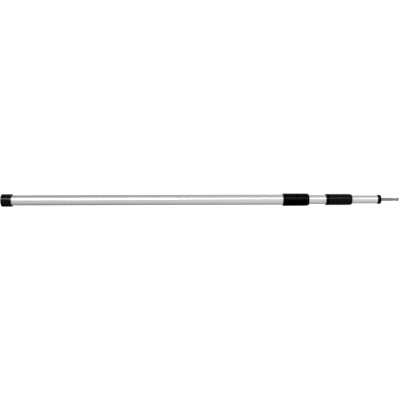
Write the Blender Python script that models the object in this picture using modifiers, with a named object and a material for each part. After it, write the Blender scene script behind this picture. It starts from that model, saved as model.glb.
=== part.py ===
"""Telescopic pole of three aluminium tubes with two twist locks, a rubber base cap and a steel stud.

The pole lies along +X. Its axis is the X axis, and the origin is the middle of the cap's end face.
Every turned piece is drawn along its own Z and carried onto the X axis by one turned empty.
"""

import math

import bpy
from mathutils import Matrix

MM = 0.001

# Tubes, all of one wall, each thinner than the one that it slides in by the same step.
OUTER_TUBE_DIAMETER = 28.0 * MM
TUBE_STEP = 3.0 * MM
TUBE_WALL = 0.8 * MM
OUTER_TUBE_LENGTH = 789.0 * MM
MIDDLE_TUBE_INSET = 110.0 * MM  # from the outer tube's lower end to the middle tube's, pole closed
INNER_TUBE_INSET = 128.1 * MM  # from the middle tube's lower end to the inner tube's
MIDDLE_TUBE_SHOWN = 45.8 * MM
INNER_TUBE_SHOWN = 69.2 * MM

# Clearances.
GAP = 0.3 * MM
GUIDE_GAP = 0.25 * MM
SLEEVE_GAP = 0.6 * MM

# Rubber base cap and the disc inside it.
CAP_LENGTH = 28.5 * MM
CAP_WALL = 3.2 * MM
CAP_FLOOR = 4.5 * MM
CAP_ROUNDING = 2.0 * MM
CAP_GROOVES = 3
CAP_GROOVE_WIDTH = 1.6 * MM
CAP_GROOVE_DEPTH = 0.45 * MM
WASHER_THICKNESS = 1.5 * MM
WASHER_HOLE_SHARE = 0.3

# Twist locks. The first size of each pair is the lower lock's.
LOCK_GRIP = 31.6 * MM
LOCK_LENGTHS = (70.8 * MM, 70.8 * MM)
RIM_STEPS = (2.0 * MM, 1.9 * MM)
SLEEVE_TAPERS = (0.3 * MM, 0.4 * MM)
NOSE_LENGTHS = (8.6 * MM, 8.6 * MM)
NOSE_BOW = 1.0 * MM
RIM_WIDTH = 5.4 * MM
BODY_WALL = 1.0 * MM
LIP_LENGTH = 5.7 * MM
NOSE_WALL = 1.0 * MM
EDGE = 0.5 * MM
COLLET_LENGTH = 21.0 * MM
COLLET_FLANGE = 3.0 * MM
COLLET_TIP_WALL = 1.1 * MM
COLLET_SLOTS = 6
COLLET_SLOT_WIDTH = 1.2 * MM
COLLET_SLOT_LENGTH = 15.0 * MM
WIPER_LENGTH = 2.4 * MM
WIPER_WALL = 0.95 * MM

# Spool-shaped bushes in the lower ends of the sliding tubes, with their rings and cross pins.
SPOOL_LENGTH = 12.0 * MM
SPOOL_FLANGE = 3.0 * MM
SPOOL_GROOVE_DEPTH = 1.3 * MM
SHANK_LENGTH = 24.0 * MM
BUSH_BORE_SHARE = 0.65
PIN_DIAMETER = 3.0 * MM
RING_SLIT = 1.5 * MM

# Tip plug and stud.
TIP_FLANGE_LENGTH = 9.7 * MM
TIP_FLANGE_STEP = 1.7 * MM
TIP_FRONT_ROUNDING = 3.4 * MM
TIP_BACK_ROUNDING = 1.6 * MM
TIP_SHANK_LENGTH = 40.0 * MM
STUD_DIAMETER = 8.0 * MM
STUD_SHOWN = 48.9 * MM
STUD_GROOVE_START = 32.6 * MM
STUD_GROOVE_WIDTH = 7.4 * MM
STUD_GROOVE_DEPTH = 0.7 * MM
STUD_CHAMFER = 0.8 * MM
NUT_ACROSS_FLATS = 1.625 * STUD_DIAMETER
NUT_THICKNESS = 0.8 * STUD_DIAMETER
STUD_PAST_NUT = 2.5 * MM

FACETS = 32
PIN_FACETS = 16

# Stations along the pole, from the base face.
WASHER_START = CAP_FLOOR + GAP
OUTER_START = WASHER_START + WASHER_THICKNESS + GAP
OUTER_END = OUTER_START + OUTER_TUBE_LENGTH
LOWER_LOCK = OUTER_END - LOCK_GRIP
UPPER_LOCK = LOWER_LOCK + LOCK_LENGTHS[0] + MIDDLE_TUBE_SHOWN
MIDDLE_END = UPPER_LOCK + LOCK_GRIP
MIDDLE_START = OUTER_START + MIDDLE_TUBE_INSET
TIP_FLANGE = UPPER_LOCK + LOCK_LENGTHS[1] + INNER_TUBE_SHOWN
INNER_END = TIP_FLANGE - GAP
INNER_START = MIDDLE_START + INNER_TUBE_INSET
STUD_ROOT = TIP_FLANGE + TIP_FLANGE_LENGTH

# Tube radii, outside and inside.
OUTER_R = OUTER_TUBE_DIAMETER / 2
MIDDLE_R = OUTER_R - TUBE_STEP / 2
INNER_R = MIDDLE_R - TUBE_STEP / 2
OUTER_BORE = OUTER_R - TUBE_WALL
MIDDLE_BORE = MIDDLE_R - TUBE_WALL
INNER_BORE = INNER_R - TUBE_WALL
STUD_R = STUD_DIAMETER / 2
PIN_R = PIN_DIAMETER / 2


def clear_scene():
    for thing in list(bpy.data.objects):
        bpy.data.objects.remove(thing, do_unlink=True)


def new_collection(name):
    made = bpy.data.collections.new(name)
    bpy.context.scene.collection.children.link(made)
    return made


def linear(channel):
    return channel / 12.92 if channel <= 0.04045 else ((channel + 0.055) / 1.055) ** 2.4


def new_material(name, colour, roughness, metallic):
    material = bpy.data.materials.new(name)
    material.use_nodes = True
    shader = material.node_tree.nodes["Principled BSDF"]
    shader.inputs["Base Color"].default_value = tuple(linear(c / 255) for c in colour) + (1.0,)
    shader.inputs["Roughness"].default_value = roughness
    shader.inputs["Metallic"].default_value = metallic
    return material


def new_empty(name, parent, station):
    """An empty on the pole's axis, at a distance from the base face."""
    empty = bpy.data.objects.new(name, None)
    empty.empty_display_size = 20 * MM
    PARTS.objects.link(empty)
    empty.parent = parent
    STATIONS[name] = station
    empty.location.z = station - (STATIONS[parent.name] if parent else 0)
    return empty


def turned(name, profile, body, material, facets=FACETS, closed=True):
    """A piece turned about the pole's axis, from points of radius and station."""
    station = min(z for _, z in profile)
    mesh = bpy.data.meshes.new(name)
    points = [(radius, 0, z - station) for radius, z in profile]
    edges = [(i, i + 1) for i in range(len(points) - 1)]
    if closed:
        edges.append((len(points) - 1, 0))
    mesh.from_pydata(points, edges, [])
    piece = bpy.data.objects.new(name, mesh)
    PARTS.objects.link(piece)
    piece.parent = body
    piece.location.z = station - STATIONS[body.name]
    # half a facet of roll puts a flat underneath
    piece.rotation_euler.z = math.pi / facets
    screw = piece.modifiers.new("turn", "SCREW")
    screw.axis = "Z"
    screw.angle = 2 * math.pi
    screw.steps = facets
    screw.render_steps = facets
    screw.use_merge_vertices = True
    screw.merge_threshold = 0.01 * MM
    screw.use_smooth_shade = True
    mesh.materials.append(material)
    return piece


def finish_shading(piece):
    shading = piece.modifiers.new("corner shading", "WEIGHTED_NORMAL")
    shading.keep_sharp = True


def adopt(piece, name, collection, body, station):
    """Names a new primitive, moves it to its collection and hangs it on the axis of its body."""
    for holder in list(piece.users_collection):
        holder.objects.unlink(piece)
    collection.objects.link(piece)
    piece.name = name
    piece.data.name = name
    piece.parent = body
    piece.location.z = station - STATIONS[body.name]
    return piece


def cross_cylinder(name, collection, body, station, radius, near, far, side):
    """A cylinder across the pole, on its local X ("X") or local Y ("Y") side, between two distances."""
    middle = (near + far) / 2
    bpy.ops.mesh.primitive_cylinder_add(vertices=PIN_FACETS, radius=radius, depth=far - near)
    piece = adopt(bpy.context.object, name, collection, body, station)
    if side == "X":
        piece.rotation_euler = (0, math.pi / 2, 0)
        piece.location.x = middle
    else:
        piece.rotation_euler = (math.pi / 2, 0, 0)
        piece.location.y = middle
    return piece


def box_cutter(name, body, station, size, turn=0.0, offset=0.0):
    """A box of three sizes whose middle is at the station, moved out by the offset and turned."""
    bpy.ops.mesh.primitive_cube_add(size=1)
    cutter = adopt(bpy.context.object, name, CUTTERS, body, station)
    cutter.data.transform(Matrix.Diagonal((*size, 1)))
    cutter.location.x = offset * math.cos(turn)
    cutter.location.y = offset * math.sin(turn)
    cutter.rotation_euler.z = turn
    return cutter


def cut(piece, cutter):
    cutter.hide_render = True
    cutter.display_type = "WIRE"
    modifier = piece.modifiers.new("cut " + cutter.name, "BOOLEAN")
    modifier.operation = "DIFFERENCE"
    modifier.solver = "EXACT"
    modifier.object = cutter


def rounded_corner(radius, face, rounding, angles):
    """Points round an outer corner. Angles above zero lie towards a face above, the others below."""
    middle = face - rounding if max(angles) > 0 else face + rounding
    points = []
    for angle in angles:
        turn = math.radians(angle)
        points.append((radius - rounding + rounding * math.cos(turn), middle + rounding * math.sin(turn)))
    return points


def build_cap():
    bore = OUTER_R + GAP
    outside = bore + CAP_WALL
    profile = [(0, CAP_FLOOR), (bore, CAP_FLOOR), (bore, CAP_LENGTH), (outside - EDGE, CAP_LENGTH)]
    profile.append((outside, CAP_LENGTH - EDGE))
    spacing = (CAP_LENGTH - CAP_ROUNDING) / (CAP_GROOVES + 1)
    for groove in range(CAP_GROOVES, 0, -1):
        middle = CAP_ROUNDING + groove * spacing
        profile.append((outside, middle + CAP_GROOVE_WIDTH / 2))
        profile.append((outside - CAP_GROOVE_DEPTH, middle))
        profile.append((outside, middle - CAP_GROOVE_WIDTH / 2))
    profile += rounded_corner(outside, 0, CAP_ROUNDING, (0, -30, -60, -90))
    profile.append((0, 0))
    turned("base_ferrule", profile, POLE, RUBBER, closed=False)

    washer_r = OUTER_R
    hole_r = washer_r * WASHER_HOLE_SHARE
    top = WASHER_START + WASHER_THICKNESS
    ring("base_washer", washer_r, hole_r, WASHER_START, top, POLE, STEEL)


def ring(name, outside, inside, start, end, body, material):
    profile = [(outside, end), (outside, start), (inside, start), (inside, end)]
    return turned(name, profile, body, material)


def build_lock(prefix, number, station, big_r, small_r, body):
    """A twist lock on the end of the larger tube, which grips the smaller tube that slides in it."""
    thread_r = big_r + GAP + BODY_WALL
    rim_r = thread_r + RIM_STEPS[number]
    tube_end = station + LOCK_GRIP
    body_end = tube_end + GAP + LIP_LENGTH
    lip_r = small_r + GUIDE_GAP
    rim_end = station + RIM_WIDTH
    profile = [
        (thread_r - EDGE, body_end),
        (thread_r, body_end - EDGE),
        (thread_r, rim_end),
        (rim_r - EDGE, rim_end),
        (rim_r, rim_end - EDGE),
        (rim_r, station + EDGE),
        (rim_r - EDGE, station),
        (big_r + GAP, station),
        (big_r + GAP, tube_end + GAP),
        (lip_r, tube_end + GAP),
        (lip_r, body_end),
    ]
    turned(prefix + "_lock_body", profile, body, BLACK_PLASTIC)

    # the collet moves along the pole with the sleeve, and doesn't turn
    collet_start = body_end + GAP
    collet_end = collet_start + COLLET_LENGTH
    flange_end = collet_start + COLLET_FLANGE
    collet_bore = small_r + GAP
    cone_r = thread_r - GAP
    tip_r = collet_bore + COLLET_TIP_WALL
    collet_axis = new_empty(prefix + "_collet_axis", body, collet_start)
    profile = [
        (tip_r, collet_end),
        (cone_r - EDGE, flange_end),
        (cone_r, flange_end - EDGE),
        (cone_r, collet_start),
        (collet_bore, collet_start),
        (collet_bore, collet_end),
    ]
    collet = turned(prefix + "_collet", profile, collet_axis, NATURAL_NYLON)
    slot_size = (thread_r, COLLET_SLOT_WIDTH, 2 * COLLET_SLOT_LENGTH)
    for slot in range(COLLET_SLOTS):
        turn = 2 * math.pi * slot / COLLET_SLOTS
        name = f"{prefix}_collet_slot_{slot + 1}"
        cut(collet, box_cutter(name, collet_axis, collet_end, slot_size, turn, thread_r))

    sleeve_start = rim_end + SLEEVE_GAP
    sleeve_end = station + LOCK_LENGTHS[number]
    sleeve_bore = thread_r + GAP
    sleeve_r = rim_r - SLEEVE_TAPERS[number] / 2
    shoulder_r = rim_r - SLEEVE_TAPERS[number]
    shoulder = sleeve_end - NOSE_LENGTHS[number]
    nose_bore = small_r + GAP
    nose_r = nose_bore + NOSE_WALL
    bow_r = (shoulder_r + nose_r) / 2 + NOSE_BOW
    seat_end = collet_end + GAP
    wiper_start = seat_end + 2 * EDGE
    groove_end = wiper_start + WIPER_LENGTH + 2 * GAP
    groove_r = nose_bore + WIPER_WALL + GAP
    sleeve_axis = new_empty(prefix + "_sleeve_axis", collet_axis, sleeve_start)
    profile = [
        (nose_r, sleeve_end),
        (bow_r, sleeve_end - NOSE_LENGTHS[number] / 2),
        (shoulder_r, shoulder),
        (sleeve_r, sleeve_start + EDGE),
        (sleeve_r - EDGE, sleeve_start),
        (sleeve_bore, sleeve_start),
        (sleeve_bore, flange_end),
        (cone_r - EDGE + GAP, flange_end + GAP),
        (tip_r + GAP, seat_end),
        (nose_bore, seat_end),
        (nose_bore, wiper_start),
        (groove_r, wiper_start),
        (groove_r, groove_end),
        (nose_bore, groove_end),
        (nose_bore, sleeve_end),
    ]
    turned(prefix + "_sleeve", profile, sleeve_axis, BLACK_PLASTIC)
    wiper_end = groove_end - GAP
    ring(prefix + "_wiper", groove_r - GAP, lip_r, wiper_start + GAP, wiper_end, sleeve_axis, RUBBER)


def build_bush(prefix, tube_start, tube_r, tube_bore, guide_bore, slide_axis, body):
    """The spool in a sliding tube's lower end, the split ring that rides in its groove, and its pin."""
    spool_start = tube_start - SPOOL_LENGTH
    groove_start = spool_start + SPOOL_FLANGE
    groove_end = tube_start - SPOOL_FLANGE
    groove_r = tube_r - SPOOL_GROOVE_DEPTH
    shank_r = tube_bore - GAP
    bush_bore = tube_r * BUSH_BORE_SHARE
    shank_end = tube_start + SHANK_LENGTH
    profile = [
        (shank_r - EDGE, shank_end),
        (shank_r, shank_end - EDGE),
        (shank_r, tube_start - GAP),
        (tube_r, tube_start - GAP),
        (tube_r, groove_end),
        (groove_r, groove_end),
        (groove_r, groove_start),
        (tube_r, groove_start),
        (tube_r, spool_start + EDGE),
        (tube_r - EDGE, spool_start),
        (bush_bore, spool_start),
        (bush_bore, shank_end),
    ]
    bush = turned(prefix + "_bush", profile, body, NATURAL_NYLON)

    ring_r = guide_bore - GUIDE_GAP
    ring_start = groove_start + GAP
    ring_end = groove_end - GAP
    name = prefix + "_guide_ring"
    guide = ring(name, ring_r, groove_r + GAP, ring_start, ring_end, slide_axis, ACETAL)
    slit_size = (ring_r, RING_SLIT, 2 * SPOOL_LENGTH)
    cut(guide, box_cutter(name + "_slit", slide_axis, ring_start, slit_size, 0.0, ring_r))

    pin_station = tube_start + SHANK_LENGTH / 2
    reach = tube_r - GAP / 2
    pin = cross_cylinder(prefix + "_bush_pin", PARTS, body, pin_station, PIN_R, -reach, reach, "X")
    pin.data.materials.append(STEEL)
    hole_r = PIN_R + GAP
    hole = cross_cylinder(
        prefix + "_bush_pin_hole", CUTTERS, body, pin_station, hole_r, -guide_bore, guide_bore, "X"
    )
    cut(bush, hole)
    return hole


def build_tip(tube, body):
    shank_r = INNER_BORE - GAP
    shank_start = TIP_FLANGE - TIP_SHANK_LENGTH
    flange_r = INNER_R + TIP_FLANGE_STEP
    stud_hole = STUD_R + GAP
    profile = rounded_corner(flange_r, STUD_ROOT, TIP_FRONT_ROUNDING, (90, 60, 30, 0))
    profile += rounded_corner(flange_r, TIP_FLANGE, TIP_BACK_ROUNDING, (0, -45, -90))
    profile += [
        (shank_r, TIP_FLANGE),
        (shank_r, shank_start + EDGE),
        (shank_r - EDGE, shank_start),
        (stud_hole, shank_start),
        (stud_hole, STUD_ROOT),
    ]
    plug = turned("tip_plug", profile, body, BLACK_PLASTIC)

    # a short pin on the pole's back holds the plug
    pin_station = TIP_FLANGE - TIP_SHANK_LENGTH / 2
    pin_near = stud_hole + 3 * GAP
    pin_far = INNER_R - GAP / 2
    pin = cross_cylinder("tip_plug_pin", PARTS, body, pin_station, PIN_R, pin_near, pin_far, "Y")
    pin.data.materials.append(STEEL)
    hole_start = pin_near - GAP
    hole = cross_cylinder(
        "tip_plug_pin_hole", CUTTERS, body, pin_station, PIN_R + GAP, hole_start, OUTER_R, "Y"
    )
    cut(plug, hole)
    cut(tube, hole)

    washer_end = shank_start - GAP
    washer_start = washer_end - WASHER_THICKNESS
    nut_end = washer_start - GAP
    nut_start = nut_end - NUT_THICKNESS
    stud_start = nut_start - STUD_PAST_NUT
    stud_end = STUD_ROOT + STUD_SHOWN
    groove_start = STUD_ROOT + STUD_GROOVE_START
    groove_end = groove_start + STUD_GROOVE_WIDTH
    waist_r = STUD_R - STUD_GROOVE_DEPTH
    profile = [
        (0, stud_end),
        (STUD_R - STUD_CHAMFER, stud_end),
        (STUD_R, stud_end - STUD_CHAMFER),
        (STUD_R, groove_end),
        (waist_r, groove_end - STUD_GROOVE_DEPTH),
        (waist_r, groove_start + STUD_GROOVE_DEPTH),
        (STUD_R, groove_start),
        (STUD_R, stud_start + EDGE),
        (STUD_R - EDGE, stud_start),
        (0, stud_start),
    ]
    turned("tip_stud", profile, body, STEEL, closed=False)
    ring("tip_stud_washer", shank_r, stud_hole, washer_start, washer_end, body, STEEL)
    build_nut(body, nut_start, nut_end, stud_hole)


def build_nut(body, start, end, hole_r):
    corner_r = NUT_ACROSS_FLATS / math.sqrt(3)
    bpy.ops.mesh.primitive_cylinder_add(vertices=6, radius=corner_r, depth=end - start)
    middle = (start + end) / 2
    nut = adopt(bpy.context.object, "tip_stud_nut", PARTS, body, middle)
    nut.data.materials.append(STEEL)
    chamfer = nut.modifiers.new("edges", "BEVEL")
    chamfer.width = EDGE / 2
    chamfer.segments = 1
    bpy.ops.mesh.primitive_cylinder_add(vertices=FACETS, radius=hole_r, depth=2 * (end - start))
    cut(nut, adopt(bpy.context.object, "tip_stud_nut_hole", CUTTERS, body, middle))


clear_scene()
STATIONS = {}
PARTS = new_collection("telescopic pole")
CUTTERS = new_collection("cutters")
CUTTERS.hide_render = True

ALUMINIUM = new_material("satin anodised aluminium", (200, 201, 203), 0.32, 1.0)
BLACK_PLASTIC = new_material("black glass-filled nylon", (20, 19, 24), 0.42, 0.0)
RUBBER = new_material("black moulded rubber", (24, 24, 26), 0.6, 0.0)
STEEL = new_material("zinc-plated steel", (140, 140, 141), 0.38, 1.0)
NATURAL_NYLON = new_material("grey nylon", (120, 120, 118), 0.5, 0.0)
ACETAL = new_material("white acetal", (228, 227, 221), 0.4, 0.0)

# The root empty carries each piece's own Z onto the X axis.
POLE = new_empty("pole_axis", None, 0.0)
POLE.rotation_euler.y = math.pi / 2
MIDDLE_SLIDE = new_empty("middle_slide_axis", POLE, MIDDLE_START)
MIDDLE_SPIN = new_empty("middle_spin_axis", MIDDLE_SLIDE, MIDDLE_START)
INNER_SLIDE = new_empty("inner_slide_axis", MIDDLE_SPIN, INNER_START)
INNER_SPIN = new_empty("inner_spin_axis", INNER_SLIDE, INNER_START)

build_cap()
ring("outer_tube", OUTER_R, OUTER_BORE, OUTER_START, OUTER_END, POLE, ALUMINIUM)
build_lock("lower", 0, LOWER_LOCK, OUTER_R, MIDDLE_R, POLE)

middle_tube = ring("middle_tube", MIDDLE_R, MIDDLE_BORE, MIDDLE_START, MIDDLE_END, MIDDLE_SPIN, ALUMINIUM)
middle_hole = build_bush(
    "middle", MIDDLE_START, MIDDLE_R, MIDDLE_BORE, OUTER_BORE, MIDDLE_SLIDE, MIDDLE_SPIN
)
cut(middle_tube, middle_hole)
build_lock("upper", 1, UPPER_LOCK, MIDDLE_R, INNER_R, MIDDLE_SPIN)

inner_tube = ring("inner_tube", INNER_R, INNER_BORE, INNER_START, INNER_END, INNER_SPIN, ALUMINIUM)
inner_hole = build_bush(
    "inner", INNER_START, INNER_R, INNER_BORE, MIDDLE_BORE, INNER_SLIDE, INNER_SPIN
)
cut(inner_tube, inner_hole)
build_tip(inner_tube, INNER_SPIN)

for part in PARTS.objects:
    if part.type == "MESH":
        finish_shading(part)
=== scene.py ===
import math

import bmesh
import bpy
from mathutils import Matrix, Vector


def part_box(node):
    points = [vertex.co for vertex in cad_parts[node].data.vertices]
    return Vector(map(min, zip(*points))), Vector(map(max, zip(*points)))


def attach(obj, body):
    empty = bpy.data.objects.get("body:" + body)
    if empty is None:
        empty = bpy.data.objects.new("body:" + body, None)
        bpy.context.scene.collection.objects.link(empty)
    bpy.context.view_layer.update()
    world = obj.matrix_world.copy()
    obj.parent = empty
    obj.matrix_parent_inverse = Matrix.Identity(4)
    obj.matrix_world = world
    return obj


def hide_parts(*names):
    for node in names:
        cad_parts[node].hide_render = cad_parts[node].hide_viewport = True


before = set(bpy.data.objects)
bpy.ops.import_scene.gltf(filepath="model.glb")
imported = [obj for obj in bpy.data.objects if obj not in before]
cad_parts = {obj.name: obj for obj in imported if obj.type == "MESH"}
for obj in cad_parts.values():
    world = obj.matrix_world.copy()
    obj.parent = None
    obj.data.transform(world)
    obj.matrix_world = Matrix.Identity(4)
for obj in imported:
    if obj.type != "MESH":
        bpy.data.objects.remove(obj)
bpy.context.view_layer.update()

MM = 0.001

# ------------------------------------------------------------------ places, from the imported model
FACET_SHARE = math.cos(math.pi / 32)  # the frame's pieces have 32 flats, and the round ones here touch them

CAP_LOW, CAP_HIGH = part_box("base_ferrule")
OUTER_LOW, OUTER_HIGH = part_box("outer_tube")
MIDDLE_LOW, MIDDLE_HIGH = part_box("middle_tube")
INNER_LOW, INNER_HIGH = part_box("inner_tube")
PLUG_LOW, PLUG_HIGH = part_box("tip_plug")
STUD_LOW, STUD_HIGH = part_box("tip_stud")

OUTER_R = OUTER_HIGH[2]
MIDDLE_R = MIDDLE_HIGH[2]
INNER_R = INNER_HIGH[2]
STUD_R = STUD_HIGH[2]

# ------------------------------------------------------------------ sizes
TUBE_WALL = 0.8 * MM
GAP = 0.3 * MM  # between a tube and what slides on it or is bonded to it
LOCK_WALL = 1.0 * MM  # of a lock body and of a sleeve's nose
LOCK_EDGE = 0.6 * MM  # rounding of the locks' outer edges
RIM_WIDTH = 5.4 * MM
LIP_LENGTH = 5.7 * MM  # of the lock body past the end of its tube
THREAD_PITCH = 3.0 * MM
NOSE_LENGTH = 8.6 * MM
FLANGE_LENGTH = 9.7 * MM
SPOOL_GROOVE_DEPTH = 1.3 * MM
PIN_HOLE_R = 1.65 * MM

# ways across the pole
UPRIGHT = (0, 0, 0)
FRONT_TO_BACK = (math.pi / 2, 0, 0)

# flats round a piece, by how large it is
SIDES = 128
HIDDEN_SIDES = 96
STUD_SIDES = 64
PIN_SIDES = 32

# points closer than this are one point: on a turned piece, and along a cut
SAME_POINT = 0.002 * MM
CUT_TOLERANCE = 0.01 * MM


# ------------------------------------------------------------------ bench work
def middle_of(node):
    """The middle of a node's box at rest."""
    low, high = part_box(node)
    return [(a + b) / 2 for a, b in zip(low, high)]


def walled(tube_r):
    """The outside of a wall round a tube with a gap between, which the frame makes with flats."""
    return (tube_r / FACET_SHARE + GAP + LOCK_WALL) * FACET_SHARE


def drop_selection():
    if bpy.context.object and bpy.context.object.mode != "OBJECT":
        bpy.ops.object.mode_set(mode="OBJECT")
    bpy.ops.object.select_all(action="DESELECT")


def take(piece):
    drop_selection()
    piece.select_set(True)
    bpy.context.view_layer.objects.active = piece


def settle(piece, smooth_angle=35):
    """Leaves the piece at the origin, unturned, with its place in its mesh."""
    take(piece)
    bpy.ops.object.transform_apply(location=True, rotation=True, scale=True)
    bpy.ops.object.shade_smooth_by_angle(angle=math.radians(smooth_angle))
    return piece


def turn_on_pole(name, profile, sides=SIDES, ring=True):
    """A round piece about the pole's axis, grown from one hoop, hoop by hoop, through (x, radius) stations.

    A ring closes on its first hoop. Otherwise both ends are drawn in to their middles.
    """
    drop_selection()
    x, radius = profile[0]
    bpy.ops.mesh.primitive_circle_add(
        vertices=sides, radius=radius, location=(x, 0, 0), rotation=(0, math.pi / 2, 0)
    )
    piece = bpy.context.object
    piece.name = name
    piece.data.name = name
    bpy.ops.object.transform_apply(location=True, rotation=True, scale=True)
    bpy.ops.object.mode_set(mode="EDIT")
    bpy.ops.mesh.select_all(action="SELECT")
    if not ring:
        bpy.ops.mesh.extrude_region_move(TRANSFORM_OT_translate={"value": (0, 0, 0)})
        bpy.ops.mesh.merge(type="CENTER")
        select_hoop(piece, x, radius)
    stations = profile[1:] + (profile[:1] if ring else [])
    for next_x, next_radius in stations:
        bpy.ops.mesh.extrude_region_move(TRANSFORM_OT_translate={"value": (next_x - x, 0, 0)})
        share = next_radius / radius
        bpy.ops.transform.resize(value=(1, share, share), center_override=(next_x, 0, 0))
        x, radius = next_x, next_radius
    if not ring:
        bpy.ops.mesh.extrude_region_move(TRANSFORM_OT_translate={"value": (0, 0, 0)})
        bpy.ops.mesh.merge(type="CENTER")
    bpy.ops.mesh.select_all(action="SELECT")
    bpy.ops.mesh.remove_doubles(threshold=SAME_POINT)
    bpy.ops.mesh.normals_make_consistent(inside=False)
    bpy.ops.object.mode_set(mode="OBJECT")
    return settle(piece)


def select_hoop(piece, x, radius):
    """Selects the hoop of edges at one station of a piece in edit mode."""
    bpy.ops.mesh.select_all(action="DESELECT")
    mesh = bmesh.from_edit_mesh(piece.data)
    for vertex in mesh.verts:
        across = math.hypot(vertex.co.y, vertex.co.z)
        vertex.select = abs(vertex.co.x - x) < CUT_TOLERANCE and abs(across - radius) < CUT_TOLERANCE
    mesh.select_flush_mode()
    bmesh.update_edit_mesh(piece.data)


def cut_with(piece, tool, operation="DIFFERENCE"):
    """Cuts a piece with a tool's shape, removes the tool and tidies the edges of the cut."""
    take(piece)
    cut = piece.modifiers.new("cut", "BOOLEAN")
    cut.operation = operation
    cut.solver = "EXACT"
    cut.object = tool
    bpy.ops.object.modifier_apply(modifier=cut.name)
    bpy.data.objects.remove(tool, do_unlink=True)
    bpy.ops.object.mode_set(mode="EDIT")
    bpy.ops.mesh.select_all(action="SELECT")
    bpy.ops.mesh.remove_doubles(threshold=CUT_TOLERANCE)
    bpy.ops.mesh.dissolve_degenerate(threshold=CUT_TOLERANCE)
    bpy.ops.object.mode_set(mode="OBJECT")
    return piece


def drill(piece, centre, radius, depth, turn):
    """Drills a round hole across the pole."""
    drop_selection()
    bpy.ops.mesh.primitive_cylinder_add(
        vertices=PIN_SIDES, radius=radius, depth=depth, location=centre, rotation=turn
    )
    cut_with(piece, bpy.context.object)


def saw(piece, centre, size, turn):
    """Saws a slot, as a box of three sizes turned about the pole's axis."""
    drop_selection()
    bpy.ops.mesh.primitive_cube_add(size=1.0, location=centre, rotation=(turn, 0, 0), scale=size)
    cut_with(piece, bpy.context.object)


def rounded(x, radius, size, start, end, steps=6):
    """Stations round an outer corner centred at (x, radius), from one angle to another in degrees."""
    stations = []
    for step in range(steps + 1):
        angle = math.radians(start + (end - start) * step / steps)
        stations.append((x + size * math.cos(angle), radius + size * math.sin(angle)))
    return stations


def dress(piece, material, body, node):
    """Gives a piece its finish, lets it ride on its body and hides the node that it stands for."""
    piece.data.materials.clear()
    piece.data.materials.append(material)
    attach(piece, body)
    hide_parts(node)


# ------------------------------------------------------------------ finishes
def shade(code):
    """An sRGB hex colour as linear light."""
    channels = []
    for place in (0, 2, 4):
        value = int(code[place:place + 2], 16) / 255
        channels.append(value / 12.92 if value <= 0.04045 else ((value + 0.055) / 1.055) ** 2.4)
    return (*channels, 1.0)


def add_node(tree, kind, settings=None, links=None):
    """Adds one node, sets its properties and inputs by name or number, and links its inputs."""
    node = tree.nodes.new(kind)
    for key, value in (settings or {}).items():
        if isinstance(key, int):
            node.inputs[key].default_value = value
        elif hasattr(node, key):
            setattr(node, key, value)
        else:
            node.inputs[key].default_value = value
    for key, source in (links or {}).items():
        tree.links.new(source, node.inputs[key])
    return node


def new_finish(name):
    """An empty material: its tree, its shader and the coordinates of the piece, in metres."""
    material = bpy.data.materials.new(name)
    material.use_nodes = True
    tree = material.node_tree
    tree.nodes.clear()
    shader = tree.nodes.new("ShaderNodeBsdfPrincipled")
    output = tree.nodes.new("ShaderNodeOutputMaterial")
    tree.links.new(shader.outputs["BSDF"], output.inputs["Surface"])
    place = tree.nodes.new("ShaderNodeTexCoord").outputs["Object"]
    return material, tree, shader, place


def set_ramp(node, stops):
    """Gives a colour ramp its stops, as (position, colour)."""
    ramp = node.color_ramp
    while len(ramp.elements) > 1:
        ramp.elements.remove(ramp.elements[-1])
    ramp.elements[0].position, ramp.elements[0].color = stops[0]
    for position, colour in stops[1:]:
        ramp.elements.new(position).color = colour


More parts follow.
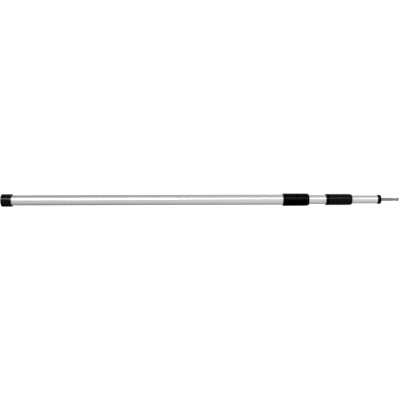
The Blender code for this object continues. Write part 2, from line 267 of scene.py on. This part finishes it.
def anodised_aluminium(name, handled):
    """Satin anodised extruded aluminium.

    The eye sees a soft silver band of light along the tube, crossed by nothing and drawn out by faint
    die lines. Where the tube slides in and out (handled), longer rub marks are added.
    """
    material, tree, shader, place = new_finish(name)
    # die lines: about 0.6 mm apart round the tube, and a quarter of a metre long
    stretched = add_node(tree, "ShaderNodeMapping", {"Scale": (4.0, 1700.0, 1700.0)}, {"Vector": place})
    lines = add_node(
        tree, "ShaderNodeTexNoise", {"Scale": 1.0, "Detail": 3.0, "Roughness": 0.6},
        {"Vector": stretched.outputs[0]},
    )
    # cloudy differences in the oxide, about 60 mm across
    cloud = add_node(tree, "ShaderNodeTexNoise", {"Scale": 16.0, "Detail": 2.0}, {"Vector": place})
    tint = add_node(tree, "ShaderNodeValToRGB", {}, {"Fac": lines.outputs["Fac"]})
    set_ramp(tint, [(0.3, shade("d0d0d1")), (0.7, shade("dededf"))])
    tree.links.new(tint.outputs["Color"], shader.inputs["Base Color"])
    rough_lines = add_node(
        tree, "ShaderNodeMapRange",
        {"From Min": 0.3, "From Max": 0.7, "To Min": 0.27, "To Max": 0.33},
        {"Value": lines.outputs["Fac"]},
    )
    rough_cloud = add_node(
        tree, "ShaderNodeMapRange",
        {"From Min": 0.3, "From Max": 0.7, "To Min": -0.02, "To Max": 0.02},
        {"Value": cloud.outputs["Fac"]},
    )
    rough = add_node(
        tree, "ShaderNodeMath", {"operation": "ADD"},
        {0: rough_lines.outputs[0], 1: rough_cloud.outputs[0]},
    )
    roughness = rough.outputs[0]
    if handled:
        # rub marks from the lock, about 2 mm apart round the tube and 80 mm long
        rubbed = add_node(tree, "ShaderNodeMapping", {"Scale": (12.0, 500.0, 500.0)}, {"Vector": place})
        marks = add_node(
            tree, "ShaderNodeTexNoise", {"Scale": 1.0, "Detail": 4.0, "Roughness": 0.7},
            {"Vector": rubbed.outputs[0]},
        )
        worn = add_node(
            tree, "ShaderNodeMapRange",
            {"From Min": 0.55, "From Max": 0.75, "To Min": 0.0, "To Max": 0.10},
            {"Value": marks.outputs["Fac"]},
        )
        roughness = add_node(
            tree, "ShaderNodeMath", {"operation": "ADD"}, {0: roughness, 1: worn.outputs[0]}
        ).outputs[0]
    tree.links.new(roughness, shader.inputs["Roughness"])
    bump = add_node(
        tree, "ShaderNodeBump", {"Strength": 0.12, "Distance": 0.02 * MM},
        {"Height": lines.outputs["Fac"]},
    )
    tree.links.new(bump.outputs[0], shader.inputs["Normal"])
    shader.inputs["Metallic"].default_value = 1.0
    return material


def moulded_nylon(name, dark, light, roughness, grain_mm, depth_mm, specular=0.5):
    """Injection-moulded nylon with a spark-eroded grain, which breaks its gloss into a soft sheen."""
    material, tree, shader, place = new_finish(name)
    grain = add_node(
        tree, "ShaderNodeTexNoise", {"Scale": 1000.0 / grain_mm, "Detail": 2.0, "Roughness": 0.5},
        {"Vector": place},
    )
    # flow marks from the mould, about 15 mm across
    flow = add_node(tree, "ShaderNodeTexNoise", {"Scale": 65.0, "Detail": 3.0}, {"Vector": place})
    tint = add_node(tree, "ShaderNodeValToRGB", {}, {"Fac": flow.outputs["Fac"]})
    set_ramp(tint, [(0.35, shade(dark)), (0.7, shade(light))])
    tree.links.new(tint.outputs["Color"], shader.inputs["Base Color"])
    spread = add_node(
        tree, "ShaderNodeMapRange",
        {"From Min": 0.3, "From Max": 0.7, "To Min": roughness - 0.05, "To Max": roughness + 0.06},
        {"Value": flow.outputs["Fac"]},
    )
    tree.links.new(spread.outputs[0], shader.inputs["Roughness"])
    bump = add_node(
        tree, "ShaderNodeBump", {"Strength": 0.6, "Distance": depth_mm * MM},
        {"Height": grain.outputs["Fac"]},
    )
    tree.links.new(bump.outputs[0], shader.inputs["Normal"])
    shader.inputs["IOR"].default_value = 1.53
    shader.inputs["Specular IOR Level"].default_value = specular
    return material


def moulded_rubber(name):
    """Compression-moulded black rubber: smooth and slightly greasy, with a narrow cool highlight."""
    material, tree, shader, place = new_finish(name)
    scuff = add_node(tree, "ShaderNodeTexNoise", {"Scale": 220.0, "Detail": 4.0}, {"Vector": place})
    dust = add_node(tree, "ShaderNodeTexNoise", {"Scale": 45.0, "Detail": 3.0}, {"Vector": place})
    tint = add_node(tree, "ShaderNodeValToRGB", {}, {"Fac": dust.outputs["Fac"]})
    set_ramp(tint, [(0.4, shade("040405")), (0.75, shade("0b0b0d"))])
    # the end that stands on floors is scuffed dull and grey, and its edge for the first 2 mm
    parts = add_node(tree, "ShaderNodeSeparateXYZ", {}, {0: place})
    worn = add_node(
        tree, "ShaderNodeMapRange",
        {"From Min": 0.4 * MM, "From Max": 2.2 * MM, "To Min": 1.0, "To Max": 0.0},
        {"Value": parts.outputs["X"]},
    )
    patches = add_node(
        tree, "ShaderNodeMath", {"operation": "MULTIPLY"}, {0: worn.outputs[0], 1: scuff.outputs["Fac"]}
    )
    greyed = add_node(
        tree, "ShaderNodeMixRGB", {2: shade("343436")},
        {0: patches.outputs[0], 1: tint.outputs["Color"]},
    )
    tree.links.new(greyed.outputs["Color"], shader.inputs["Base Color"])
    spread = add_node(
        tree, "ShaderNodeMapRange",
        {"From Min": 0.35, "From Max": 0.7, "To Min": 0.13, "To Max": 0.22},
        {"Value": scuff.outputs["Fac"]},
    )
    dulled = add_node(
        tree, "ShaderNodeMath", {"operation": "MULTIPLY_ADD", 1: 0.6},
        {0: patches.outputs[0], 2: spread.outputs[0]},
    )
    tree.links.new(dulled.outputs[0], shader.inputs["Roughness"])
    bump = add_node(
        tree, "ShaderNodeBump", {"Strength": 0.4, "Distance": 0.05 * MM},
        {"Height": scuff.outputs["Fac"]},
    )
    tree.links.new(bump.outputs[0], shader.inputs["Normal"])
    shader.inputs["IOR"].default_value = 1.52
    shader.inputs["Specular IOR Level"].default_value = 0.33
    return material


def zinc_steel(name, dark, light, roughness):
    """Turned steel, zinc plated: a flat grey with the lathe's fine rings round it."""
    material, tree, shader, place = new_finish(name)
    # lathe rings 0.25 mm apart along the pole
    ringed = add_node(tree, "ShaderNodeMapping", {"Scale": (4000.0, 60.0, 60.0)}, {"Vector": place})
    rings = add_node(
        tree, "ShaderNodeTexNoise", {"Scale": 1.0, "Detail": 2.0}, {"Vector": ringed.outputs[0]}
    )
    spangle = add_node(tree, "ShaderNodeTexNoise", {"Scale": 700.0, "Detail": 3.0}, {"Vector": place})
    tint = add_node(tree, "ShaderNodeValToRGB", {}, {"Fac": spangle.outputs["Fac"]})
    set_ramp(tint, [(0.35, shade(dark)), (0.7, shade(light))])
    tree.links.new(tint.outputs["Color"], shader.inputs["Base Color"])
    spread = add_node(
        tree, "ShaderNodeMapRange",
        {"From Min": 0.3, "From Max": 0.7, "To Min": roughness - 0.06, "To Max": roughness + 0.06},
        {"Value": spangle.outputs["Fac"]},
    )
    tree.links.new(spread.outputs[0], shader.inputs["Roughness"])
    bump = add_node(
        tree, "ShaderNodeBump", {"Strength": 0.25, "Distance": 0.03 * MM},
        {"Height": rings.outputs["Fac"]},
    )
    tree.links.new(bump.outputs[0], shader.inputs["Normal"])
    shader.inputs["Metallic"].default_value = 1.0
    return material


OUTER_ALUMINIUM = anodised_aluminium("satin anodised aluminium", handled=False)
SLIDING_ALUMINIUM = anodised_aluminium("satin anodised aluminium, rubbed by the locks", handled=True)
BLACK_NYLON = moulded_nylon("black spark-grained nylon", "050506", "0b0a0c", 0.34, 0.5, 0.09, 0.22)
# A lit and shaded copy of the black nylon, for the upper sleeve. Its darker colour paints its body darker,
# and its stronger gloss paints a brighter highlight than the lower sleeve's.
LIT_AND_SHADED_NYLON = moulded_nylon("black nylon polished by the hand", "030304", "080709", 0.25, 0.5, 0.07, 0.3)
GREY_NYLON = moulded_nylon("grey moulded nylon", "6d6d6b", "7c7c79", 0.5, 0.5, 0.03)
ACETAL = moulded_nylon("white moulded acetal", "dcdbd5", "e8e7e1", 0.38, 0.6, 0.02)
BLACK_RUBBER = moulded_rubber("black compression-moulded rubber")
STUD_STEEL = zinc_steel("zinc-plated turned steel", "848587", "97989a", 0.5)


# ------------------------------------------------------------------ base cap
def make_cap():
    """The rubber cap: a cup with a round heel, three grip grooves and two tread rings in its end face."""
    outside = CAP_HIGH[2]
    mouth = CAP_HIGH[0]
    floor = 4.5 * MM
    bore = OUTER_R + 0.25 * MM
    heel = 2.0 * MM
    lip = 0.7 * MM
    profile = [(floor, bore), (mouth - lip, bore)]
    profile += rounded(mouth - lip, bore + lip, lip, -90, 0)[1:]
    profile += rounded(mouth - lip, outside - lip, lip, 0, 90)

    # half of a grip groove, as (distance from its middle, depth), from its edge to its bottom
    groove_side = [(1.5 * MM, 0.0), (0.8 * MM, 0.16 * MM), (0.35 * MM, 0.5 * MM)]
    grooves = 3
    spacing = (mouth - heel) / (grooves + 1)
    for groove in range(grooves, 0, -1):
        middle = heel + groove * spacing
        profile += [(middle + away, outside - depth) for away, depth in groove_side]
        profile += [(middle - away, outside - depth) for away, depth in reversed(groove_side)]
    profile += rounded(heel, outside - heel, heel, 90, 180, steps=10)

    tread_depth = 0.55 * MM
    tread_width = 1.8 * MM
    tread_slope = 0.35 * MM
    for ring_r in (11.6 * MM, 6.8 * MM):
        profile.append((0.0, ring_r))
        profile.append((tread_depth, ring_r - tread_slope))
        profile.append((tread_depth, ring_r - tread_width + tread_slope))
        profile.append((0.0, ring_r - tread_width))
    cap = turn_on_pole("rubber_cap", profile, ring=False)
    dress(cap, BLACK_RUBBER, "outer", "base_ferrule")


# ------------------------------------------------------------------ tubes
def make_tube(name, low, high, radius, material, body, node, pins=()):
    """An extruded tube with its sawn ends deburred, drilled for its pins."""
    bore = radius - TUBE_WALL
    burr = 0.15 * MM
    start, end = low[0], high[0]
    profile = [
        (start, bore + burr),
        (start, radius - burr),
        (start + burr, radius),
        (end - burr, radius),
        (end, radius - burr),
        (end, bore + burr),
        (end - burr, bore),
        (start + burr, bore),
    ]
    tube = turn_on_pole(name, profile)
    for pin_node, turn in pins:
        # an upright pin goes right through, and the other one only through the back wall
        depth = 4 * radius if turn == UPRIGHT else radius
        drill(tube, middle_of(pin_node), PIN_HOLE_R, depth, turn)
    settle(tube)
    dress(tube, material, body, node)


# ------------------------------------------------------------------ twist locks
def make_threaded_body(prefix, body, tube_r, slide_r):
    """The fixed part of a lock, bonded over the larger tube's end: a rim, a thread and an inner lip."""
    low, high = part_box(prefix + "_lock_body")
    start, end = low[0], high[0]
    rim_r = high[2]
    rim_end = start + RIM_WIDTH
    tube_end = end - LIP_LENGTH
    bore = tube_r + 0.15 * MM
    lip_bore = slide_r + 0.2 * MM
    chamfer = 0.3 * MM
    profile = [(tube_end, bore), (start + chamfer, bore), (start, bore + chamfer)]
    profile += rounded(start + LOCK_EDGE, rim_r - LOCK_EDGE, LOCK_EDGE, 180, 90)
    profile += rounded(rim_end - LOCK_EDGE, rim_r - LOCK_EDGE, LOCK_EDGE, 90, 0)

    crest = walled(tube_r)
    root = crest - 0.55 * MM
    flank = 0.9 * MM
    land = 0.5 * MM
    undercut = 0.4 * MM
    run_out = 0.6 * MM
    profile.append((rim_end, root))
    x = rim_end + undercut
    while x + THREAD_PITCH < end - run_out:
        profile += [(x, root), (x + flank, crest), (x + flank + land, crest), (x + 2 * flank + land, root)]
        x += THREAD_PITCH
    bevel = 0.5 * MM
    profile += [(end - bevel, root), (end, root - 0.8 * bevel), (end, lip_bore), (tube_end, lip_bore)]
    rim = turn_on_pole(prefix + "_threaded_body", profile)
    dress(rim, BLACK_NYLON, body, prefix + "_lock_body")


def make_sleeve(prefix, body, tube_r, slide_r, finish, taper):
    """The sleeve that turns on the thread and holds the wiper in its rounded nose."""
    low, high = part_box(prefix + "_sleeve")
    start, end = low[0], high[0]
    back_r = high[2]
    shoulder_r = back_r - taper
    shoulder = end - NOSE_LENGTH
    nose_r = walled(slide_r)
    bore = walled(tube_r) + GAP
    nose_bore = slide_r + GAP
    chamfer = 0.3 * MM
    profile = [(start + chamfer, bore), (start, bore + chamfer)]
    profile += rounded(start + LOCK_EDGE, back_r - LOCK_EDGE, LOCK_EDGE, 180, 90)
    # the nose is a quarter of an ellipse, stopped just short of its flat end
    steps = 14
    for step in range(steps + 1):
        turn = math.radians(86) * step / steps
        radius = nose_r + (shoulder_r - nose_r) * math.cos(turn)
        profile.append((shoulder + NOSE_LENGTH * math.sin(turn), radius))
    profile += [(end, nose_r - 0.35 * MM), (end, nose_bore + 0.2 * MM), (end - chamfer, nose_bore)]

    # inside, the bore narrows to the cone that closes the collet
    seat = end - 9.0 * MM
    seat_bevel = 1.0 * MM
    cone_start = end - 28.0 * MM
    profile += [(seat, nose_bore), (seat - seat_bevel, nose_bore + seat_bevel)]
    profile += [(cone_start, bore - 0.4 * MM), (cone_start - 1.0 * MM, bore)]
    sleeve = turn_on_pole(prefix + "_twist_sleeve", profile)
    dress(sleeve, finish, body, prefix + "_sleeve")


# ------------------------------------------------------------------ tip
def make_plug():
    """The plug in the inner tube's end, with its bead-like flange and the stud's hole."""
    flange_r = PLUG_HIGH[2]
    front = PLUG_HIGH[0]
    back = front - FLANGE_LENGTH
    shank_end = PLUG_LOW[0]
    shank_r = INNER_R - TUBE_WALL - 0.15 * MM
    hole = STUD_R + 0.12 * MM
    hole_bevel = 0.3 * MM
    front_bead = 3.4 * MM
    back_bead = 1.6 * MM
    lead_in = 1.0 * MM
    profile = [(front - hole_bevel, hole), (front, hole + hole_bevel)]
    profile += rounded(front - front_bead, flange_r - front_bead, front_bead, 0, 90, steps=10)
    profile += rounded(back + back_bead, flange_r - back_bead, back_bead, 90, 180, steps=8)
    profile += [(back, shank_r), (shank_end + lead_in, shank_r), (shank_end, shank_r - lead_in)]
    profile.append((shank_end, hole))
    plug = turn_on_pole("tip_plug_moulding", profile)
    dress(plug, BLACK_NYLON, "inner", "tip_plug")


def make_stud():
    """The plain steel stud, with a ring groove near its end."""
    start, end = STUD_LOW[0], STUD_HIGH[0]
    groove = PLUG_HIGH[0] + 32.6 * MM
    groove_end = groove + 7.4 * MM
    waist = STUD_R - 0.7 * MM
    chamfer = 0.5 * MM
    bevel = 0.8 * MM
    slope = 0.6 * MM  # length of each side of the groove
    ease = 0.1 * MM  # the lathe tool's breaking of an edge
    profile = [(start, STUD_R - chamfer), (start + chamfer, STUD_R)]
    profile += [(groove - 2 * ease, STUD_R), (groove, STUD_R - ease)]
    profile += [(groove + slope, waist + ease), (groove + slope + 3 * ease, waist)]
    profile += [(groove_end - slope - 3 * ease, waist), (groove_end - slope, waist + ease)]
    profile += [(groove_end, STUD_R - ease), (groove_end + 2 * ease, STUD_R)]
    profile += [(end - bevel - ease, STUD_R), (end - ease, STUD_R - bevel)]
    profile.append((end, STUD_R - bevel - 2 * ease))
    stud = turn_on_pole("grooved_stud", profile, sides=STUD_SIDES, ring=False)
    dress(stud, STUD_STEEL, "inner", "tip_stud")


# ------------------------------------------------------------------ inside the locks and tubes
def make_collet(prefix, body, slide_r):
    """The slotted cone that grips the sliding tube, each slot sawn to a round relief hole."""
    low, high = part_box(prefix + "_collet")
    start, end = low[0], high[0]
    cone_r = high[2]
    bore = slide_r + GAP
    tip_r = bore + 1.1 * MM
    flange_end = start + 3.0 * MM
    edge = 0.3 * MM
    tip_edge = 0.2 * MM
    profile = [(start, bore + edge), (start, cone_r - edge), (start + edge, cone_r)]
    profile += [(flange_end - 0.4 * MM, cone_r), (flange_end, cone_r - 0.5 * MM)]
    profile += [(end - edge, tip_r), (end, tip_r - tip_edge), (end, bore + tip_edge)]
    profile += [(end - edge, bore), (start + edge, bore)]
    collet = turn_on_pole(prefix + "_slotted_collet", profile, sides=HIDDEN_SIDES)

    slot_end = end - 15.0 * MM
    slot_width = 1.2 * MM
    overrun = 2.0 * MM
    relief_r = 0.9 * MM
    cuts = 3  # right across, so they make six slots
    for number in range(cuts):
        turn = math.pi * number / cuts
        middle = ((slot_end + end) / 2 + overrun / 2, 0, 0)
        saw(collet, middle, (end - slot_end + overrun, 4 * cone_r, slot_width), turn)
        drill(collet, (slot_end, 0, 0), relief_r, 4 * cone_r, (turn + math.pi / 2, 0, 0))
    settle(collet)
    dress(collet, GREY_NYLON, body, prefix + "_collet")


def make_wiper(prefix, body, slide_r):
    """The rubber ring in the sleeve's nose, with two lips that touch the sliding tube."""
    low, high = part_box(prefix + "_wiper")
    start, end = low[0], high[0]
    outside = high[2]
    lip_r = slide_r + 0.22 * MM
    back_r = lip_r + 0.15 * MM
    waist_r = lip_r + 0.35 * MM
    edge = 0.2 * MM
    lip = 0.3 * MM
    half_waist = 0.4 * MM
    middle = (start + end) / 2
    profile = [(start, back_r), (start, outside - edge), (start + edge, outside)]
    profile += [(end - edge, outside), (end, outside - edge), (end, back_r)]
    profile += [(end - lip, lip_r), (middle + half_waist, waist_r), (middle - half_waist, waist_r)]
    profile.append((start + lip, lip_r))
    wiper = turn_on_pole(prefix + "_lip_wiper", profile)
    dress(wiper, BLACK_RUBBER, body, prefix + "_wiper")


def make_bush(prefix, body, tube_start, tube_r):
    """The spool in a sliding tube's lower end, drilled for its cross pin."""
    low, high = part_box(prefix + "_bush")
    ring_low, ring_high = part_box(prefix + "_guide_ring")
    start, end = low[0], high[0]
    spool_r = high[2]
    bore = 0.65 * spool_r
    shank_r = tube_r - TUBE_WALL - GAP
    groove_r = spool_r - SPOOL_GROOVE_DEPTH
    edge = 0.4 * MM
    profile = [(start, bore + edge), (start, spool_r - edge), (start + edge, spool_r)]
    profile += [(ring_low[0] - GAP, spool_r), (ring_low[0] - GAP, groove_r)]
    profile += [(ring_high[0] + GAP, groove_r), (ring_high[0] + GAP, spool_r)]
    profile += [(tube_start - GAP, spool_r), (tube_start - GAP, shank_r)]
    profile += [(end - edge, shank_r), (end, shank_r - edge), (end, bore + edge)]
    profile += [(end - edge, bore), (start + edge, bore)]
    bush = turn_on_pole(prefix + "_spool_bush", profile)
    drill(bush, middle_of(prefix + "_bush_pin"), PIN_HOLE_R, 4 * tube_r, UPRIGHT)
    settle(bush)
    dress(bush, GREY_NYLON, body, prefix + "_bush")


def make_guide_ring(prefix, body):
    """The split wear ring in a spool's groove, with a shallow groove of its own for grease."""
    low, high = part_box(prefix + "_guide_ring")
    spool_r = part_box(prefix + "_bush")[1][2]
    start, end = low[0], high[0]
    outside = high[1]
    inside = spool_r - SPOOL_GROOVE_DEPTH + GAP
    edge = 0.25 * MM
    grease_depth = 0.3 * MM
    grease_top = 0.7 * MM
    grease_bottom = 0.4 * MM
    slit = 1.5 * MM
    middle = (start + end) / 2
    profile = [(start, inside), (start, outside - edge), (start + edge, outside)]
    profile += [(middle - grease_top, outside), (middle - grease_bottom, outside - grease_depth)]
    profile += [(middle + grease_bottom, outside - grease_depth), (middle + grease_top, outside)]
    profile += [(end - edge, outside), (end, outside - edge), (end, inside)]
    ring = turn_on_pole(prefix + "_split_ring", profile)
    saw(ring, (middle, 0, -outside), (2 * (end - start), slit, outside), 0.0)
    settle(ring)
    dress(ring, ACETAL, body, prefix + "_guide_ring")


def make_pin(name, body, node, turn):
    """A straight steel pin with rounded ends, set across the pole."""
    low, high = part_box(node)
    half = (high[2] - low[2] if turn == UPRIGHT else high[1] - low[1]) / 2
    radius = (high[0] - low[0]) / 2
    dome = 0.45 * MM
    cheek = (0.12 * MM, 0.2 * MM)  # how far along and how far in the dome's middle is
    profile = [(-half, radius - dome), (-half + cheek[0], radius - cheek[1]), (-half + dome, radius)]
    profile += [(half - dome, radius), (half - cheek[0], radius - cheek[1]), (half, radius - dome)]
    pin = turn_on_pole(name, profile, sides=PIN_SIDES, ring=False)
    pin.location = middle_of(node)
    pin.rotation_euler = (0, math.pi / 2, 0) if turn == UPRIGHT else (0, 0, math.pi / 2)
    settle(pin)
    dress(pin, STUD_STEEL, body, node)


def make_washer(name, body, node, hole_r):
    """A stamped washer, rolled over a little at its rim by the punch."""
    low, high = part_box(node)
    start, end = low[0], high[0]
    outside = high[2]
    roll = 0.35 * MM
    burr = 0.1 * MM
    profile = [(start, hole_r + burr), (start, outside - roll)]
    profile += rounded(start + roll, outside - roll, roll, 180, 90)[1:]
    profile += [(end - burr, outside), (end, outside - burr), (end, hole_r)]
    profile.append((start + burr, hole_r))
    washer = turn_on_pole(name, profile)
    dress(washer, STUD_STEEL, body, node)


def make_nut():
    """A hexagon nut with its corners turned down to a cone at both faces."""
    low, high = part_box("tip_stud_nut")
    start, end = low[0], high[0]
    corner_r = max(high[1], high[2])
    flat_r = corner_r * math.cos(math.pi / 6)
    # the corners point the way the frame's nut is wider
    lie_along = (math.pi / 2, 0, math.pi / 2) if high[1] > high[2] else (0, math.pi / 2, 0)
    drop_selection()
    bpy.ops.mesh.primitive_cylinder_add(
        vertices=6, radius=corner_r, depth=end - start, location=((start + end) / 2, 0, 0), rotation=lie_along
    )
    nut = bpy.context.object
    nut.name = "hexagon_nut"
    nut.data.name = "hexagon_nut"

    cone = corner_r - flat_r
    spare = 0.1 * MM  # the blank stands out this much past the hexagon
    hole_r = STUD_R + 0.15 * MM
    countersink = 0.5 * MM
    front, back = start - spare, end + spare
    profile = [(front, hole_r + countersink), (front, flat_r - 0.2 * MM)]
    profile += [(start + 0.5 * cone, corner_r + spare), (end - 0.5 * cone, corner_r + spare)]
    profile += [(back, flat_r - 0.2 * MM), (back, hole_r + countersink)]
    profile += [(end - 0.4 * MM, hole_r), (start + 0.4 * MM, hole_r)]
    blank = turn_on_pole("nut_blank", profile, sides=HIDDEN_SIDES)
    settle(cut_with(nut, blank, "INTERSECT"))
    dress(nut, STUD_STEEL, "inner", "tip_stud_nut")


# ------------------------------------------------------------------ the pole, from its base
make_cap()
make_washer("tube_end_washer", "outer", "base_washer", 0.3 * OUTER_R)
make_tube("outer_extrusion", OUTER_LOW, OUTER_HIGH, OUTER_R, OUTER_ALUMINIUM, "outer", "outer_tube")
make_tube(
    "middle_extrusion", MIDDLE_LOW, MIDDLE_HIGH, MIDDLE_R, SLIDING_ALUMINIUM, "middle", "middle_tube",
    [("middle_bush_pin", UPRIGHT)],
)
make_tube(
    "inner_extrusion", INNER_LOW, INNER_HIGH, INNER_R, SLIDING_ALUMINIUM, "inner", "inner_tube",
    [("inner_bush_pin", UPRIGHT), ("tip_plug_pin", FRONT_TO_BACK)],
)
make_threaded_body("lower", "outer", OUTER_R, MIDDLE_R)
make_sleeve("lower", "lower_sleeve", OUTER_R, MIDDLE_R, BLACK_NYLON, 0.15 * MM)
make_collet("lower", "lower_collet", MIDDLE_R)
make_wiper("lower", "lower_sleeve", MIDDLE_R)
make_threaded_body("upper", "middle", MIDDLE_R, INNER_R)
# the upper sleeve wears the lit and shaded copy of the nylon: painted shade on its body and a painted
# brighter highlight
make_sleeve("upper", "upper_sleeve", MIDDLE_R, INNER_R, LIT_AND_SHADED_NYLON, 0.2 * MM)
make_collet("upper", "upper_collet", INNER_R)
make_wiper("upper", "upper_sleeve", INNER_R)
make_bush("middle", "middle", MIDDLE_LOW[0], MIDDLE_R)
make_guide_ring("middle", "middle_ring")
make_pin("middle_cross_pin", "middle", "middle_bush_pin", UPRIGHT)
make_bush("inner", "inner", INNER_LOW[0], INNER_R)
make_guide_ring("inner", "inner_ring")
make_pin("inner_cross_pin", "inner", "inner_bush_pin", UPRIGHT)
make_plug()
make_stud()
make_pin("plug_pin", "inner", "tip_plug_pin", FRONT_TO_BACK)
make_washer("stud_washer", "inner", "tip_stud_washer", STUD_R + 0.2 * MM)
make_nut()


# ------------------------------------------------------------------ studio
def make_floor():
    """A white paper floor, just under the cap."""
    drop_selection()
    bpy.ops.mesh.primitive_plane_add(size=12.0, location=(0.54, 0, CAP_LOW[2] - 0.05 * MM))
    floor = bpy.context.object
    floor.name = "studio_floor"
    # the floor stays out of the metal's reflections, which come from the soft boxes
    floor.visible_glossy = False
    paper, _, shader, _ = new_finish("white studio paper")
    shader.inputs["Base Color"].default_value = shade("fbfbfb")
    shader.inputs["Roughness"].default_value = 0.9
    shader.inputs["Specular IOR Level"].default_value = 0.0
    floor.data.materials.append(paper)


# brightness of the walls by the angle round the pole, where 0.25 is straight down, 0.5 in front and
# 0.75 overhead: the base end faces a darker wall, and the tip end a brighter one
DARK_WALL = (
    (0.0, 0.2), (0.14, 0.3), (0.25, 0.51), (0.33, 0.72), (0.46, 0.78), (0.53, 0.9),
    (0.6, 0.9), (0.68, 0.62), (0.75, 0.48), (0.86, 0.42), (1.0, 0.3),
)
BRIGHT_WALL = (
    (0.0, 0.4), (0.14, 0.42), (0.25, 0.66), (0.33, 0.84), (0.4, 0.96), (0.47, 0.9), (0.53, 0.93),
    (0.59, 0.86), (0.65, 0.9), (0.73, 0.68), (0.82, 0.68), (1.0, 0.5),
)


def make_walls():
    """The studio round the pole, as a world that reflections see, with plain white behind the pole."""
    world = bpy.data.worlds.new("studio")
    bpy.context.scene.world = world
    world.use_nodes = True
    tree = world.node_tree
    tree.nodes.clear()
    direction = add_node(tree, "ShaderNodeTexCoord")
    parts = add_node(tree, "ShaderNodeSeparateXYZ", {}, {0: direction.outputs["Generated"]})
    forward = add_node(tree, "ShaderNodeMath", {"operation": "MULTIPLY", 1: -1.0}, {0: parts.outputs["Y"]})
    angle = add_node(
        tree, "ShaderNodeMath", {"operation": "ARCTAN2"}, {0: parts.outputs["Z"], 1: forward.outputs[0]}
    )
    share = add_node(
        tree, "ShaderNodeMapRange",
        {"From Min": -math.pi, "From Max": math.pi, "To Min": 0.0, "To Max": 1.0},
        {"Value": angle.outputs[0]},
    )
    walls = []
    for levels in (DARK_WALL, BRIGHT_WALL):
        wall = add_node(tree, "ShaderNodeValToRGB", {}, {"Fac": share.outputs[0]})
        set_ramp(wall, [(position, (level, level, level, 1.0)) for position, level in levels])
        walls.append(wall)
    along = add_node(
        tree, "ShaderNodeMapRange", {"From Min": -0.2, "From Max": 0.12, "To Min": 0.0, "To Max": 1.0},
        {"Value": parts.outputs["X"]},
    )
    ramp = add_node(
        tree, "ShaderNodeMixRGB", {},
        {0: along.outputs[0], 1: walls[0].outputs["Color"], 2: walls[1].outputs["Color"]},
    )
    soft = add_node(tree, "ShaderNodeBackground", {"Strength": 1.0}, {"Color": ramp.outputs["Color"]})
    white = add_node(tree, "ShaderNodeBackground", {"Color": (1, 1, 1, 1), "Strength": 1.05})
    seen = add_node(tree, "ShaderNodeLightPath")
    mixed = add_node(
        tree, "ShaderNodeMixShader", {},
        {0: seen.outputs["Is Camera Ray"], 1: soft.outputs[0], 2: white.outputs[0]},
    )
    add_node(tree, "ShaderNodeOutputWorld", {}, {"Surface": mixed.outputs[0]})


def hang_soft_box(name, x, power):
    """A long soft box over the front of the pole, seen only by its light and its reflections."""
    data = bpy.data.lights.new(name, "AREA")
    data.shape = "RECTANGLE"
    data.size = 1.6
    data.size_y = 0.26
    data.energy = power
    # daylight tubes, a little towards violet
    data.color = (0.84, 0.81, 1.0)
    box = bpy.data.objects.new(name, data)
    bpy.context.scene.collection.objects.link(box)
    place = Vector((x, -1.75, 1.0))
    aim = Vector((x, 0, 0))
    box.location = place
    box.rotation_euler = (aim - place).to_track_quat("-Z", "Y").to_euler()
    box.visible_camera = False


def make_skylight():
    """An even skylight, which only the paper shows."""
    data = bpy.data.lights.new("skylight", "SUN")
    data.energy = 1.5
    data.angle = math.radians(50)
    skylight = bpy.data.objects.new("skylight", data)
    bpy.context.scene.collection.objects.link(skylight)
    skylight.rotation_euler = (math.radians(12), math.radians(8), 0)
    skylight.visible_glossy = False


def set_display():
    """Plain colours, with a little black taken off, as a print's paper does, so rubber reads as black."""
    view = bpy.context.scene.view_settings
    view.view_transform = "Standard"
    view.use_curve_mapping = True
    view.curve_mapping.black_level = (0.02, 0.02, 0.02)
    view.curve_mapping.update()


def make_camera():
    """A level camera in front of the pole's middle, rolled a sixth of a degree as the pole was hung."""
    data = bpy.data.cameras.new("camera")
    data.sensor_width = 36.0
    data.lens = 59.56
    camera = bpy.data.objects.new("camera", data)
    bpy.context.scene.collection.objects.link(camera)
    camera.location = (0.5391, -1.8, -0.0002)
    camera.rotation_euler = (math.radians(90), math.radians(0.167), 0)
    bpy.context.scene.camera = camera


set_display()
make_floor()
make_walls()
hang_soft_box("key_box", -0.5, 27)
hang_soft_box("key_box_right", 1.25, 6.0)
make_skylight()
make_camera()
